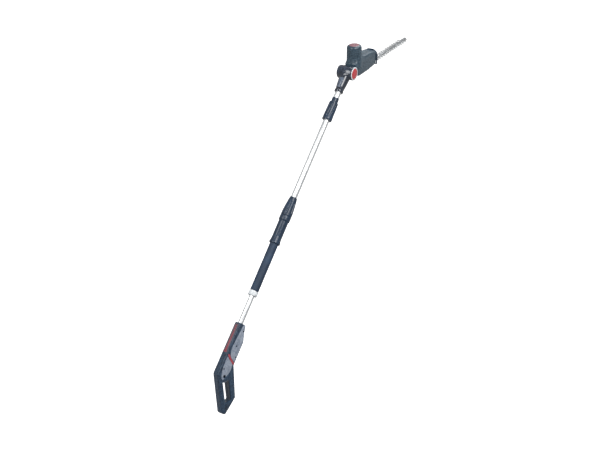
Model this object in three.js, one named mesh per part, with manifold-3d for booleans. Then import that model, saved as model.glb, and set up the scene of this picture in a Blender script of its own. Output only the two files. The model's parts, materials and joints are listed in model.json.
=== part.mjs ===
// Telescoping pole trimmer: a battery handle, a telescoping pole and a tilting cutter head.
// Millimetres, +Z up along the pole. The origin is on the pole's axis, at the middle of the main grip.
import * as THREE from "three";
import { mergeVertices } from "three/addons/utils/BufferGeometryUtils.js";
import Module from "manifold-3d";

const wasm = await Module();
wasm.setup();

// ---- Driving dimensions ----
const gap = 0.3; // between pieces that rest on or cut each other
const wall = 3; // moulded shells

const handleLength = 406; // foot to tube mouth
const handleHalfWidth = 21; // half its thickness
const handleEdge = 7; // rounding of the shells' long edges

const lowerTube = { radius: 12.5, wall: 1.5, length: 382, depthInHandle: 88 };
const outerTube = { radius: 17.5, wall: 1.5, bottom: 568, length: 382 };
const upperTube = { radius: 15, wall: 1.5, overlap: 15, length: 625 };
const stubLength = 110; // the short tube between the coupling and the elbow

const foam = { thickness: 3.4, length: 257 };
const collar = { thickness: 4.9, height: 24, plug: 32 };
const flange = { lipReach: 6.6, neckReach: 2.7, skirt: 14, height: 38 };
const sleeve = { thickness: 6.2, bulge: 9.7, height: 106, bulgeHeight: 28, neck: 2.5, neckHeight: 40 };
const lockNut = { height: 98, mouthWall: 2.6, flutes: 8 };
const coupling = { base: 9.9, shoulder: 7.7, neck: 1.9, height: 122, neckHeight: 24, lap: 40 };

const gripHeight = 296; // the origin, at the middle of the main grip, above the foot
const headTurn = THREE.MathUtils.degToRad(22); // the head's plane from the handle's plane, about the pole
const headTilt = THREE.MathUtils.degToRad(41); // the head's rest tilt from straight
const tiltRange = { low: -15, high: 90 }; // degrees from straight
const arm = { halfHeight: 15, reach: 28 };
const knuckle = { radius: 34, halfWidth: 42, slotHalf: 15.4, eye: 27.6 };
const elbow = { thickness: 6.4, lap: 36.3, aboveTube: 76.7, topRadius: 27 };
const button = { radius: 26.5, thickness: 9, travel: 4 };

const motor = { radius: 40, shoulder: 37.5, top: 120, canRadius: 24, canLength: 62 };
const housing = { halfWidth: 33, front: 246, bottom: 35, edge: 8 };
const cutter = { plane: 22, halfWidth: 14, toothTip: 29, tip: 640, pitch: 24, thickness: 2.2, stroke: 6 };
const bar = { halfWidth: 7, thickness: 4 };
const gear = { teeth: 45, pinionTeeth: 9, module: 1.1, eccentric: 9, eyeClearance: 1.2 };

// ---- Heights above the foot, and radii, that follow from them ----
const lowerBottom = handleLength - lowerTube.depthInHandle + gap;
const lowerTop = lowerBottom + lowerTube.length;
const outerTop = outerTube.bottom + outerTube.length;
const upperBottom = outerTop - upperTube.overlap;
const upperTop = upperBottom + upperTube.length;
const stubBottom = upperTop + gap;
const stubTop = stubBottom + stubLength;
const hingeHeight = stubTop + elbow.aboveTube; // the tilt axis
const elbowBottom = -elbow.aboveTube - elbow.lap; // from the tilt axis
const elbowSleeve = upperTube.radius + elbow.thickness;
const palm = -lowerTube.radius - 7.5;

// ---- Places along the head, from the tilt axis ----
const armEnd = knuckle.radius + arm.reach;
const housingBack = knuckle.radius + 3;
const motorCentre = housingBack + motor.radius;
const gearCentre = motorCentre + (gear.module * (gear.teeth + gear.pinionTeeth)) / 2;

// ---- Materials ----
function finish(colour, roughness, metalness = 0) {
  return new THREE.MeshStandardMaterial({ color: colour, roughness, metalness });
}
const navy = finish(0x27323f, 0.5);
const slate = finish(0x56646f, 0.45);
const panelGrey = finish(0x9aa5b2, 0.5);
const red = finish(0xb5263c, 0.35);
const silver = finish(0xd9dde0, 0.3, 0.9);
const steel = finish(0xaeb2b5, 0.35, 0.9);
const softGrip = finish(0x4f474d, 0.85);
const foamGrey = finish(0x3a4552, 0.95);
const paleGrey = finish(0xe2e5e6, 0.45);
const copper = finish(0x8a5a3a, 0.4, 0.8);

// ---- Solids ----
function toSolid(geometry) {
  const bare = geometry.index ? geometry.toNonIndexed() : geometry.clone();
  bare.deleteAttribute("normal");
  bare.deleteAttribute("uv");
  const merged = mergeVertices(bare, 1e-4);
  const triVerts = new Uint32Array(merged.index.array);
  const vertProperties = merged.attributes.position.array;
  const made = new wasm.Manifold(new wasm.Mesh({ numProp: 3, vertProperties, triVerts }));
  if (made.volume() > 0) return made;
  for (let i = 0; i < triVerts.length; i += 3) {
    [triVerts[i + 1], triVerts[i + 2]] = [triVerts[i + 2], triVerts[i + 1]];
  }
  return new wasm.Manifold(new wasm.Mesh({ numProp: 3, vertProperties, triVerts }));
}

function toGeometry(solid) {
  const mesh = solid.getMesh();
  const geometry = new THREE.BufferGeometry();
  const positions = new Float32Array((mesh.vertProperties.length / mesh.numProp) * 3);
  for (let i = 0; i < positions.length / 3; i += 1) {
    for (let k = 0; k < 3; k += 1) positions[i * 3 + k] = mesh.vertProperties[i * mesh.numProp + k];
  }
  geometry.setAttribute("position", new THREE.BufferAttribute(positions, 3));
  geometry.setIndex(new THREE.BufferAttribute(new Uint32Array(mesh.triVerts), 1));
  const flat = geometry.toNonIndexed();
  flat.computeVertexNormals();
  return flat;
}

// Turned about Z from a closed outline of [radius, z] points.
function turned(points, segments = 24) {
  const profile = points.map(([r, z]) => new THREE.Vector2(r, z));
  if (points[0][0] > 0) profile.push(profile[0].clone());
  return toSolid(new THREE.LatheGeometry(profile, segments).rotateX(Math.PI / 2));
}

function ring(outer, inner, z0, z1, segments = 24) {
  return turned([[inner, z0], [outer, z0], [outer, z1], [inner, z1]], segments);
}

function rod(radius, z0, z1, segments = 24) {
  return turned([[0, z0], [radius, z0], [radius, z1], [0, z1]], segments);
}

// A rod or ring made along Z, laid along another axis through (y, z) or (x, z).
function alongX(solid, y = 0, z = 0) {
  return solid.rotate([0, 90, 0]).translate([0, y, z]);
}
function alongUp(solid, z = 0) {
  return solid.rotate([90, 0, 0]).translate([0, 0, z]); // +Z becomes -Y, the head's upward side
}

function block(x0, x1, y0, y1, z0, z1) {
  const box = new THREE.BoxGeometry(x1 - x0, y1 - y0, z1 - z0);
  return toSolid(box.translate((x0 + x1) / 2, (y0 + y1) / 2, (z0 + z1) / 2));
}

// A closed outline whose corners are [u, v, radius].
function outline(corners) {
  const shape = new THREE.Shape();
  corners.forEach(([u, v, wanted = 0], i) => {
    const here = new THREE.Vector2(u, v);
    const before = new THREE.Vector2(...corners.at(i - 1).slice(0, 2));
    const after = new THREE.Vector2(...corners[(i + 1) % corners.length].slice(0, 2));
    const radius = Math.min(wanted, 0.45 * here.distanceTo(before), 0.45 * here.distanceTo(after));
    const arrive = before.sub(here).setLength(radius).add(here);
    const leave = after.sub(here).setLength(radius).add(here);
    if (i === 0) shape.moveTo(arrive.x, arrive.y);
    else shape.lineTo(arrive.x, arrive.y);
    if (radius > 0) shape.quadraticCurveTo(u, v, leave.x, leave.y);
  });
  shape.closePath();
  return shape;
}

// The same corners, moved in by a distance along both of their edges.
function insetCorners(corners, distance) {
  return corners.map(([u, v, radius = 0], i) => {
    const [bu, bv] = corners.at(i - 1);
    const [au, av] = corners[(i + 1) % corners.length];
    const arrive = new THREE.Vector2(u - bu, v - bv).normalize();
    const leave = new THREE.Vector2(au - u, av - v).normalize();
    const turnSine = arrive.cross(leave);
    const shift = turnSine === 0 ? 0 : distance / turnSine;
    const winding = THREE.ShapeUtils.area(corners.map(([x, y]) => new THREE.Vector2(x, y))) > 0 ? 1 : -1;
    const du = (leave.x - arrive.x) * shift * winding;
    const dv = (leave.y - arrive.y) * shift * winding;
    return [u + du, v + dv, Math.max(radius - Math.abs(distance), Math.min(radius, 0.8))];
  });
}

// Corners in Y and Z, thick along X, with rounded edges and an optional inset.
const sideways = new THREE.Matrix4().makeBasis(
  new THREE.Vector3(0, 1, 0),
  new THREE.Vector3(0, 0, 1),
  new THREE.Vector3(1, 0, 0),
);
function slab(corners, x0, x1, edge = 0, inset = 0) {
  const geometry = new THREE.ExtrudeGeometry(outline(insetCorners(corners, edge + inset)), {
    depth: x1 - x0 - 2 * edge,
    bevelEnabled: edge > 0,
    bevelThickness: edge,
    bevelSize: edge,
    bevelSegments: 2,
    curveSegments: 3,
  });
  return toSolid(geometry.applyMatrix4(sideways).translate(x0 + edge, 0, 0));
}

const far = 900;
const rightHalf = block(gap / 2, far, -far, far, -far, far);
const leftHalf = block(-far, -gap / 2, -far, far, -far, far);

const tool = new THREE.Group();
const standing = new THREE.Group(); // heights above the foot
standing.position.z = -gripHeight;
tool.add(standing);
function assembly(parent, z = 0) {
  const group = new THREE.Group();
  group.position.z = z;
  parent.add(group);
  return group;
}
function piece(group, name, solid, material) {
  const mesh = new THREE.Mesh(toGeometry(solid), material);
  mesh.name = name;
  group.add(mesh);
  return mesh;
}

// ---- Handle: local z runs down from the tube's mouth ----
const handle = assembly(standing, handleLength);
const front = 46;
const footFlat = -handleLength;
const footSplit = -384;

const handleOutline = [
  [palm + 2, 0, 5],
  [lowerTube.radius + 8.5, 0, 5],
  [28, -26, 12],
  [front, -74, 10],
  [front, -187, 12],
  [127, -315, 9],
  [118, -370, 9],
  [111, footFlat, 8],
  [90, footFlat, 8],
  [palm, -257, 14],
];
// A point of the slanted lower part: how far down its slope, and how far across it from the palm side.
const slope = Math.atan2(4, 3);
function lowerPoint(down, across, radius = 0) {
  const y = down * Math.cos(slope) + across * Math.sin(slope);
  const z = across * Math.cos(slope) - down * Math.sin(slope);
  return [y, z, radius];
}
const bay = { top: 236, bottom: 336, inner: -150, outer: -112, corner: 9 };
const bayOutline = [
  lowerPoint(bay.top, bay.inner, bay.corner),
  lowerPoint(bay.top, bay.outer, bay.corner),
  lowerPoint(bay.bottom, bay.outer, bay.corner),
  lowerPoint(bay.bottom, bay.inner, bay.corner),
];

const screwSpots = [[20, -30], [16, -104], [35, -152], [0, -222]];
const screw = { head: 3.4, headDepth: 2.2, shank: 1.6, boss: 4.6 };
const eyelet = { y: 19, z: -252, radius: 7.5 };
const triggerPin = { y: 36, z: -86, radius: 2 };
const pinReach = handleHalfWidth - 3.6;
const triggerSlot = { halfWidth: 7.6, top: -77, bottom: -139, back: 20 };

function acrossHandle(radius, y, z, x0 = -far, x1 = far, segments = 12) {
  return alongX(rod(radius, x0, x1, segments), y, z);
}

const bossSpots = [...screwSpots, [triggerPin.y, triggerPin.z], [eyelet.y, eyelet.z]];
const bossRadii = [...screwSpots.map(() => screw.boss), screw.boss, eyelet.radius + wall];
const handleSolid = slab(handleOutline, -handleHalfWidth, handleHalfWidth, handleEdge);
const bayHole = slab(bayOutline, -far, far);
const bayWall = slab(bayOutline, -far, far, 0, -wall);
const bossPosts = bossSpots.map(([y, z], i) => acrossHandle(bossRadii[i], y, z));

const handleInner = handleHalfWidth - wall;
let handleHollow = slab(handleOutline, -handleInner, handleInner, handleEdge - wall, wall);
handleHollow = handleHollow.subtract(bayWall);
bossPosts.forEach((post) => {
  handleHollow = handleHollow.subtract(post);
});

let handleCasing = handleSolid.subtract(handleHollow).subtract(bayHole);
handleCasing = handleCasing.subtract(rod(lowerTube.radius + gap, -lowerTube.depthInHandle, 10));
handleCasing = handleCasing.subtract(
  block(
    -triggerSlot.halfWidth, triggerSlot.halfWidth, triggerSlot.back, far, triggerSlot.bottom, triggerSlot.top,
  ),
);
handleCasing = handleCasing.subtract(block(-far, far, -far, far, -far, footSplit));
handleCasing = handleCasing.subtract(acrossHandle(eyelet.radius, eyelet.y, eyelet.z));
handleCasing = handleCasing.subtract(
  acrossHandle(triggerPin.radius + gap, triggerPin.y, triggerPin.z, -pinReach - gap, pinReach + gap),
);

// The lock-off button's hole through the left wall, and the thin steps that the trims sit in.
const lockOff = { y: 12, z: -66, radius: 5, wallHole: 5.3, travel: 2.5 };
handleCasing = handleCasing.subtract(acrossHandle(lockOff.wallHole, lockOff.y, lockOff.z, -far, 0));

const trimDepth = 1.6;
const sidePanelOutline = [
  [6, -3, 4],
  [19, -3, 4],
  [25, -27, 10],
  [41, -73, 8],
  [41, -176, 8],
  [12, -162, 10],
  [2, -150, 8],
  [-6, -120, 20],
];
const sweepOutline = [
  [-11, -152, 2],
  [-3, -151, 3],
  [12, -164, 12],
  [42, -178, 3],
  [41, -190, 3],
  [10, -174, 12],
  [-8, -160, 3],
];
const lowerPanelOutline = [
  [-10, -163, 5],
  [12, -176, 14],
  [36, -188, 8],
  [38, -222, 12],
  [18, -272, 8],
  [4, -262, 8],
  [-9, -220, 14],
];
const trimPlane = handleHalfWidth - trimDepth;
function trimOn(side, shape, grow = 0) {
  const inner = side * (trimPlane - grow);
  const outer = side * (handleHalfWidth + 0.4);
  return slab(shape, Math.min(inner, outer), Math.max(inner, outer), 0, -grow);
}
const trimShapes = [sidePanelOutline, sweepOutline, lowerPanelOutline];
[1, -1].forEach((side) => {
  trimShapes.forEach((shape) => {
    handleCasing = handleCasing.subtract(trimOn(side, shape, gap / 3));
  });
});

// The palm pad is let into the back of the grip, and the red stripe into the pad.
const padOutline = [[-far, -8], [palm + 5, -8, 4], [palm + 5, -150, 4], [-far, -150]];
const padPocket = slab(padOutline, -14, 14);
const stripePocket = block(-5, 5, -far, palm + 2.2, -146, -12);
handleCasing = handleCasing.subtract(padPocket);
const padSolid = handleSolid.subtract(handleHollow).intersect(slab(padOutline, -14 + gap, 14 - gap));
const padTrimmed = padSolid.intersect(block(-far, far, -far, palm + 5 - gap, -150 + gap, -8 - gap));
piece(handle, "palm_pad", padTrimmed.subtract(stripePocket), softGrip);
const stripeBlock = block(-5 + gap, 5 - gap, -far, palm + 2.2 - gap, -146 + gap, -12 - gap);
const stripeSolid = handleSolid.intersect(stripeBlock);
piece(handle, "red_stripe", stripeSolid, red);

const sides = [["right", 1, rightHalf], ["left", -1, leftHalf]];
sides.forEach(([sideName, side, half]) => {
  let shell = handleCasing.intersect(half);
  screwSpots.forEach(([y, z]) => {
    shell = shell.subtract(acrossHandle(screw.shank + gap, y, z, -14, far, 12));
    if (side > 0) {
      const seat = handleHalfWidth - trimDepth - screw.headDepth - 1;
      shell = shell.subtract(acrossHandle(screw.head + gap, y, z, seat, far, 16));
    }
  });
  piece(handle, `handle_shell_${sideName}`, shell, navy);
  const names = ["side_panel", "red_sweep", "lower_panel"];
  trimShapes.forEach((shape, i) => {
    let trim = trimOn(side, shape).intersect(handleSolid);
    if (side > 0) screwSpots.forEach(([y, z]) => {
      trim = trim.subtract(acrossHandle(screw.head + gap, y, z, 0, far, 16));
    });
    trim = trim.subtract(acrossHandle(eyelet.radius, eyelet.y, eyelet.z));
    if (side < 0) trim = trim.subtract(acrossHandle(lockOff.wallHole, lockOff.y, lockOff.z, -far, 0));
    piece(handle, `${names[i]}_${sideName}`, trim, i === 1 ? red : panelGrey);
  });
});

screwSpots.forEach(([y, z], i) => {
  const headTop = handleHalfWidth - trimDepth - 1;
  const profile = [
    [0, -13],
    [screw.shank, -13],
    [screw.shank, headTop - screw.headDepth + 0.3],
    [screw.head, headTop - screw.headDepth + 0.3],
    [screw.head, headTop],
    [0, headTop],
  ];
  piece(handle, `shell_screw_${i + 1}`, alongX(turned(profile, 12), y, z), steel);
});

const bumper = handleSolid.intersect(block(-far, far, -far, far, footFlat, footSplit - gap));
piece(handle, "foot_bumper", bumper, navy);

const socketHalf = lowerTube.radius + 1.5;
const socketBlock = block(-socketHalf, socketHalf, -socketHalf - 2, socketHalf + 3, -58, -30);
const socket = socketBlock.subtract(rod(lowerTube.radius + 0.1, -far, far));
piece(handle, "tube_socket", socket.intersect(handleHollow), slate);

// Battery rails along the bay's back wall, and the contact block at its upper end.
const rail = { thickness: 4, halfWidth: 16, endGap: 9 };
const railInner = bay.inner + gap;
const railOuter = railInner + rail.thickness;
const railOutline = [
  lowerPoint(bay.top + rail.endGap, railInner),
  lowerPoint(bay.top + rail.endGap, railOuter),
  lowerPoint(bay.bottom - rail.endGap, railOuter),
  lowerPoint(bay.bottom - rail.endGap, railInner),
];
piece(handle, "battery_rail", slab(railOutline, -rail.halfWidth, rail.halfWidth), slate);
const contacts = { depth: 6.5, halfWidth: 15, from: -140, to: -122 };
const contactOutline = [
  lowerPoint(bay.top + gap, contacts.from),
  lowerPoint(bay.top + gap, contacts.to),
  lowerPoint(bay.top + contacts.depth, contacts.to),
  lowerPoint(bay.top + contacts.depth, contacts.from),
];
piece(handle, "battery_contacts", slab(contactOutline, -contacts.halfWidth, contacts.halfWidth), panelGrey);

// Trigger, its pin, spring, switch and lock-off button.
const triggerOutline = [
  [29, -81, 3],
  [43, -79.5, 3],
  [52, -96, 5],
  [51, -122, 5],
  [47, -134, 4],
  [32, -133, 3],
  [36, -110, 6],
];
const triggerHalf = triggerSlot.halfWidth - 0.6;
const triggerBore = acrossHandle(triggerPin.radius + 0.06, triggerPin.y, triggerPin.z, -far, far, 24);
piece(handle, "trigger", slab(triggerOutline, -triggerHalf, triggerHalf, 1.5).subtract(triggerBore), navy);
piece(
  handle,
  "trigger_pin",
  acrossHandle(triggerPin.radius, triggerPin.y, triggerPin.z, -pinReach, pinReach, 24),
  steel,
);
piece(handle, "trigger_spring", alongX(ring(2.6, 1.6, -3, 3, 12), 24.5, -124), steel);
piece(handle, "switch_body", block(-7, 7, 0, 19, -140, -112), navy);
const lockOuter = -handleHalfWidth - 1.8;
const lockInner = -lowerTube.radius - lockOff.travel;
const lockShape = [
  [0, lockOuter],
  [lockOff.radius - 1, lockOuter],
  [lockOff.radius, lockOuter + 1.2],
  [lockOff.radius, lockInner],
  [0, lockInner],
];
piece(handle, "lock_off_button", alongX(turned(lockShape, 20), lockOff.y, lockOff.z), red);

// ---- Pole ----
const pole = assembly(standing);
const lowerBore = lowerTube.radius - lowerTube.wall;
piece(pole, "lower_tube", ring(lowerTube.radius, lowerBore, lowerBottom, lowerTop), silver);

const outerBore = outerTube.radius - outerTube.wall;
piece(pole, "outer_tube", ring(outerTube.radius, outerBore, outerTube.bottom, outerTop), silver);

const collarBore = lowerTube.radius + 0.1;
const collarTop = outerTube.bottom - gap;
const collarBottom = collarTop - collar.height;
const collarPlug = outerBore - 0.1;
const collarRadius = outerTube.radius + collar.thickness;
const collarRing = turned([
  [collarBore, collarBottom + 6],
  [collarRadius - 4, collarBottom + 6],
  [collarRadius - 4, collarBottom],
  [collarRadius - 1, collarBottom],
  [collarRadius, collarBottom + 2],
  [collarRadius, collarTop - 1.5],
  [collarRadius - 1.5, collarTop],
  [collarPlug, collarTop],
  [collarPlug, collarTop + collar.plug],
  [collarBore, collarTop + collar.plug],
]);
const earSize = { reach: 5, halfWidth: 4, height: 12 };
function collarEar(side) {
  const x0 = side * (collarRadius - 1.5);
  const x1 = side * (collarRadius + earSize.reach);
  const z0 = collarBottom + 4;
  const { halfWidth, height } = earSize;
  return block(Math.min(x0, x1), Math.max(x0, x1), -halfWidth, halfWidth, z0, z0 + height);
}
piece(pole, "end_collar", collarRing.add(collarEar(1)).add(collarEar(-1)), paleGrey);

const foamOuter = outerTube.radius + foam.thickness;
const foamInner = outerTube.radius + 0.1;
const foamBottom = outerTube.bottom + 1;
const foamTop = foamBottom + foam.length;
piece(
  pole,
  "foam_grip",
  turned([
    [foamInner, foamBottom],
    [foamOuter - 1.5, foamBottom],
    [foamOuter, foamBottom + 3],
    [foamOuter, foamTop - 3],
    [foamOuter - 1.5, foamTop],
    [foamInner, foamTop],
  ]),
  foamGrey,
);

const flangeBottom = foamTop - flange.skirt;
const flangeTop = flangeBottom + flange.height;
const flangeLip = foamOuter + flange.lipReach;
const flangeNeck = foamOuter + flange.neckReach;
piece(
  pole,
  "hand_stop",
  turned([
    [foamOuter + gap, flangeBottom + 4],
    [flangeLip - 2.5, flangeBottom],
    [flangeLip, flangeBottom + 1.5],
    [flangeLip - 0.6, flangeBottom + 7],
    [flangeNeck + 0.8, flangeBottom + 20],
    [flangeNeck, flangeTop],
    [foamInner, flangeTop],
    [foamInner, foamTop + gap],
    [foamOuter + gap, foamTop + gap],
  ]),
  navy,
);

const sleeveBottom = flangeTop + gap;
const sleeveTop = sleeveBottom + sleeve.height;
const bulgeBottom = sleeveTop - sleeve.bulgeHeight;
const sleeveRadius = outerTube.radius + sleeve.thickness;
const bulgeRadius = outerTube.radius + sleeve.bulge;
const neckRadius = outerTube.radius + sleeve.neck;
const neckTop = sleeveTop + sleeve.neckHeight;
piece(
  pole,
  "mid_sleeve",
  turned([
    [foamInner, sleeveBottom],
    [sleeveRadius, sleeveBottom],
    [sleeveRadius, bulgeBottom],
    [bulgeRadius, bulgeBottom + 5],
    [bulgeRadius, sleeveTop - 2],
    [bulgeRadius - 2, sleeveTop],
    [neckRadius, sleeveTop],
    [neckRadius, neckTop],
    [outerBore + 0.5, neckTop],
    [outerBore + 0.5, outerTop + gap],
    [foamInner, outerTop + gap],
  ]),
  navy,
);

// The clamping collet: a split ring with a cone that the lock nut closes on the upper tube.
const colletBottom = neckTop + gap;
const colletTop = colletBottom + 30;
const colletBore = upperTube.radius + 0.15;
const colletRing = turned([
  [colletBore, colletBottom],
  [neckRadius, colletBottom],
  [neckRadius, colletBottom + 4],
  [colletBore + 1.2, colletTop],
  [colletBore, colletTop],
]);
const colletSplit = block(-1.2, 1.2, 0, far, colletBottom - 1, far);
piece(pole, "clamping_collet", colletRing.subtract(colletSplit), paleGrey);

const lockBottom = sleeveTop + gap;
const lockTop = lockBottom + lockNut.height;
const lockBore = neckRadius + gap;
const lockMouth = upperTube.radius + lockNut.mouthWall;
let lockSolid = turned([
  [lockBore, lockBottom],
  [bulgeRadius - 1, lockBottom],
  [bulgeRadius, lockBottom + 2],
  [bulgeRadius - 0.6, lockBottom + 26],
  [bulgeRadius - 3, lockBottom + 52],
  [lockMouth + 3, lockBottom + 82],
  [lockMouth, lockTop],
  [upperTube.radius + gap, lockTop],
  [upperTube.radius + gap, colletTop + gap],
  [colletBore + 2, colletTop + gap],
  [lockBore, colletBottom + 8],
]);
for (let i = 0; i < lockNut.flutes; i += 1) {
  const groove = toSolid(new THREE.SphereGeometry(1, 6, 5).scale(2.2, 3.4, 32));
  const placed = groove.translate([0, bulgeRadius + 0.8, lockBottom + 42]);
  lockSolid = lockSolid.subtract(placed.rotate([0, 0, (360 / lockNut.flutes) * i]));
}
piece(pole, "twist_lock_nut", lockSolid, navy);

const upperBore = upperTube.radius - upperTube.wall;
piece(pole, "upper_tube", ring(upperTube.radius, upperBore, upperBottom, upperTop), silver);
const bushInner = upperTube.radius + 0.1;
piece(pole, "guide_bush", ring(outerBore - 0.15, bushInner, upperBottom + 1, upperBottom + 13), paleGrey);

piece(pole, "stub_tube", ring(upperTube.radius, upperBore, stubBottom, stubTop), silver);
const plugEnds = [upperTop - coupling.lap, upperTop + coupling.lap];
piece(pole, "coupling_plug", rod(upperBore - 0.1, ...plugEnds), slate);

const couplingTop = upperTop + coupling.lap;
const couplingBottom = couplingTop - coupling.height;
const couplingBase = upperTube.radius + coupling.base;
const couplingShoulder = upperTube.radius + coupling.shoulder;
const couplingNeck = upperTube.radius + coupling.neck;
const couplingStep = couplingTop - coupling.neckHeight;
const couplingBore = upperTube.radius + gap;
let couplingSolid = turned([
  [couplingBore, couplingBottom],
  [couplingBase - 1.5, couplingBottom],
  [couplingBase, couplingBottom + 3],
  [couplingBase - 0.8, couplingBottom + 40],
  [couplingShoulder, couplingStep - 4],
  [couplingShoulder - 2, couplingStep],
  [couplingNeck, couplingStep + 1],
  [couplingNeck, couplingTop],
  [couplingBore, couplingTop],
]);
const ribCount = 10;
for (let i = 0; i < ribCount; i += 1) {
  const groove = toSolid(new THREE.SphereGeometry(1, 6, 5).scale(1.5, 2, 34));
  const placed = groove.rotate([0, 14, 0]).translate([0, couplingBase + 0.3, couplingBottom + 48]);
  couplingSolid = couplingSolid.subtract(placed.rotate([0, 0, (360 / ribCount) * i]));
}
piece(pole, "coupling_nut", couplingSolid, navy);

// ---- Elbow: local z from the tilt axis, X along the axis ----
const turn = assembly(pole, hingeHeight);
turn.rotation.z = headTurn;

function neckAt(offset) {
  return turned([
    [0, elbowBottom],
    [elbowSleeve + offset, elbowBottom],
    [elbowSleeve + offset + 1, elbowBottom + 3],
    [elbowSleeve + offset + 1, elbowBottom + 10],
    [elbowSleeve + offset - 0.6, elbowBottom + 12],
    [elbowSleeve + offset, elbowBottom + 18],
    [elbow.topRadius + offset - 2, -60],
    [elbow.topRadius + offset, -30],
    [elbow.topRadius + offset, -10],
    [0, -10],
  ]);
}
const hubRim = 5;
const hubBarrel = alongX(
  turned([
    [0, -knuckle.halfWidth],
    [knuckle.radius - hubRim, -knuckle.halfWidth],
    [knuckle.radius - 1.5, -knuckle.halfWidth + 2],
    [knuckle.radius, -knuckle.halfWidth + hubRim],
    [knuckle.radius, knuckle.halfWidth - 2],
    [knuckle.radius - 1, knuckle.halfWidth],
    [0, knuckle.halfWidth],
  ], 32),
);
const armReach = Math.asin(arm.halfHeight / knuckle.eye) + THREE.MathUtils.degToRad(2);
const openFrom = THREE.MathUtils.degToRad(tiltRange.low) - armReach;
const openTo = THREE.MathUtils.degToRad(tiltRange.high) + armReach;
const tiltOpening = [[0, 0]];
for (let i = 0; i <= 4; i += 1) {
  const angle = openFrom + ((openTo - openFrom) * i) / 4;
  tiltOpening.push([2.5 * knuckle.radius * Math.sin(angle), 2.5 * knuckle.radius * Math.cos(angle)]);
}
const bolt = { radius: 6, from: -41, to: 31.5 };
const recessDepth = 10;
const recessFloor = knuckle.halfWidth - recessDepth;
let elbowSolid = hubBarrel.add(neckAt(0));
elbowSolid = elbowSolid.subtract(rod(upperTube.radius + gap, elbowBottom - 1, stubTop + gap - hingeHeight));
elbowSolid = elbowSolid.subtract(alongX(rod(knuckle.eye + 0.7, -knuckle.slotHalf, knuckle.slotHalf)));
elbowSolid = elbowSolid.subtract(slab(tiltOpening, -knuckle.slotHalf, knuckle.slotHalf));
elbowSolid = elbowSolid.subtract(alongX(rod(button.radius + gap, recessFloor, far)));
elbowSolid = elbowSolid.subtract(alongX(rod(bolt.radius + gap, -far, far, 24)));
piece(turn, "elbow", elbowSolid, navy);

const panelBlock = block(-11, 11, -far, -8, elbowBottom + 20, -42);
piece(turn, "elbow_panel", neckAt(1.4).subtract(neckAt(gap)).intersect(panelBlock), panelGrey);

piece(turn, "hinge_bolt", alongX(rod(bolt.radius, bolt.from, bolt.to, 24)), steel);

const capFace = -knuckle.halfWidth - gap;
piece(
  turn,
  "hub_cap",
  alongX(turned([[0, capFace - 4], [16, capFace - 3.4], [24, capFace - 1.6], [26, capFace], [0, capFace]])),
  navy,
);
const bezelFace = knuckle.halfWidth + gap;
piece(
  turn,
  "button_bezel",
  alongX(
    turned([
      [button.radius + gap, bezelFace],
      [knuckle.radius - 1.5, bezelFace],
      [knuckle.radius - 2.5, bezelFace + 1.6],
      [button.radius + 1.5, bezelFace + 2.4],
      [button.radius + gap, bezelFace + 2],
    ], 32),
  ),
  paleGrey,
);

const buttonBack = recessFloor + button.travel + 1.2;
const buttonTop = buttonBack + button.thickness;
const springBore = 10;
piece(
  turn,
  "release_button",
  alongX(
    turned([
      [springBore, buttonBack],
      [button.radius, buttonBack],
      [button.radius, buttonTop - 2.5],
      [button.radius - 2, buttonTop - 0.8],
      [button.radius - 10, buttonTop],
      [0, buttonTop + 0.4],
      [0, buttonTop - 2.4],
      [springBore, buttonTop - 2.4],
    ], 32),
  ),
  red,
);
const springTop = buttonTop - 2.4 - button.travel - gap;
piece(turn, "button_spring", alongX(ring(8.5, 7, recessFloor + gap, springTop, 20)), steel);

// ---- Head: local z along the bar, -Y towards the motor, X along the tilt axis ----
const head = assembly(turn);
head.rotation.x = -headTilt;

const tongueHalf = knuckle.slotHalf - 0.4;
let tongue = alongX(rod(knuckle.eye, -tongueHalf, tongueHalf, 32));
tongue = tongue.add(block(-tongueHalf, tongueHalf, -arm.halfHeight, arm.halfHeight, 0, armEnd));
tongue = tongue.subtract(alongX(rod(bolt.radius + 0.08, -far, far, 24)));
piece(head, "tilt_tongue", tongue, slate);

const housingOutline = [
  [housing.bottom, 62, 10],
  [housing.bottom, 190, 14],
  [housing.bottom - 5, housing.front, 3],
  [-40, housing.front, 6],
  [-46, 200, 12],
  [-50, 140, 10],
  [-50, 60, 6],
  [-34, housingBack, 6],
  [18, housingBack, 12],
];
const ventCount = 5;
const vent = { first: 60, pitch: 8, height: 3, depth: 1.6 };
function barrelProfile(shrink, withVents) {
  const top = motor.top - 16;
  const radiusAt = (h) => motor.radius - shrink - ((motor.radius - motor.shoulder) * h) / top;
  const profile = [[0, 4], [radiusAt(4), 4]];
  for (let i = 0; withVents && i < ventCount; i += 1) {
    const h = vent.first + vent.pitch * i;
    const deep = radiusAt(h) - vent.depth;
    profile.push([radiusAt(h), h], [deep, h + 0.6], [deep, h + vent.height - 0.6]);
    profile.push([radiusAt(h + vent.height), h + vent.height]);
  }
  profile.push([radiusAt(top), top], [0, top]);
  return profile;
}
const housingSolid = slab(housingOutline, -housing.halfWidth, housing.halfWidth, housing.edge);
const barrelSolid = alongUp(turned(barrelProfile(0, true), 32), motorCentre);
const hollowHalf = housing.halfWidth - wall;
let housingHollow = slab(housingOutline, -hollowHalf, hollowHalf, housing.edge - wall, wall);
const barrelHollow = alongUp(turned(barrelProfile(wall, false), 32), motorCentre);
housingHollow = housingHollow.add(barrelHollow);
let housingCasing = housingSolid.add(barrelSolid).subtract(housingHollow);
const armHole = block(
  -tongueHalf - gap, tongueHalf + gap, -arm.halfHeight - gap, arm.halfHeight + gap, 0, armEnd + gap,
);
housingCasing = housingCasing.subtract(armHole);
const barSlot = block(-cutter.toothTip - 1, cutter.toothTip + 1, 13, 30, housing.front - 12, far);
housingCasing = housingCasing.subtract(barSlot);
piece(head, "head_shell_right", housingCasing.intersect(rightHalf), slate);
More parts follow.
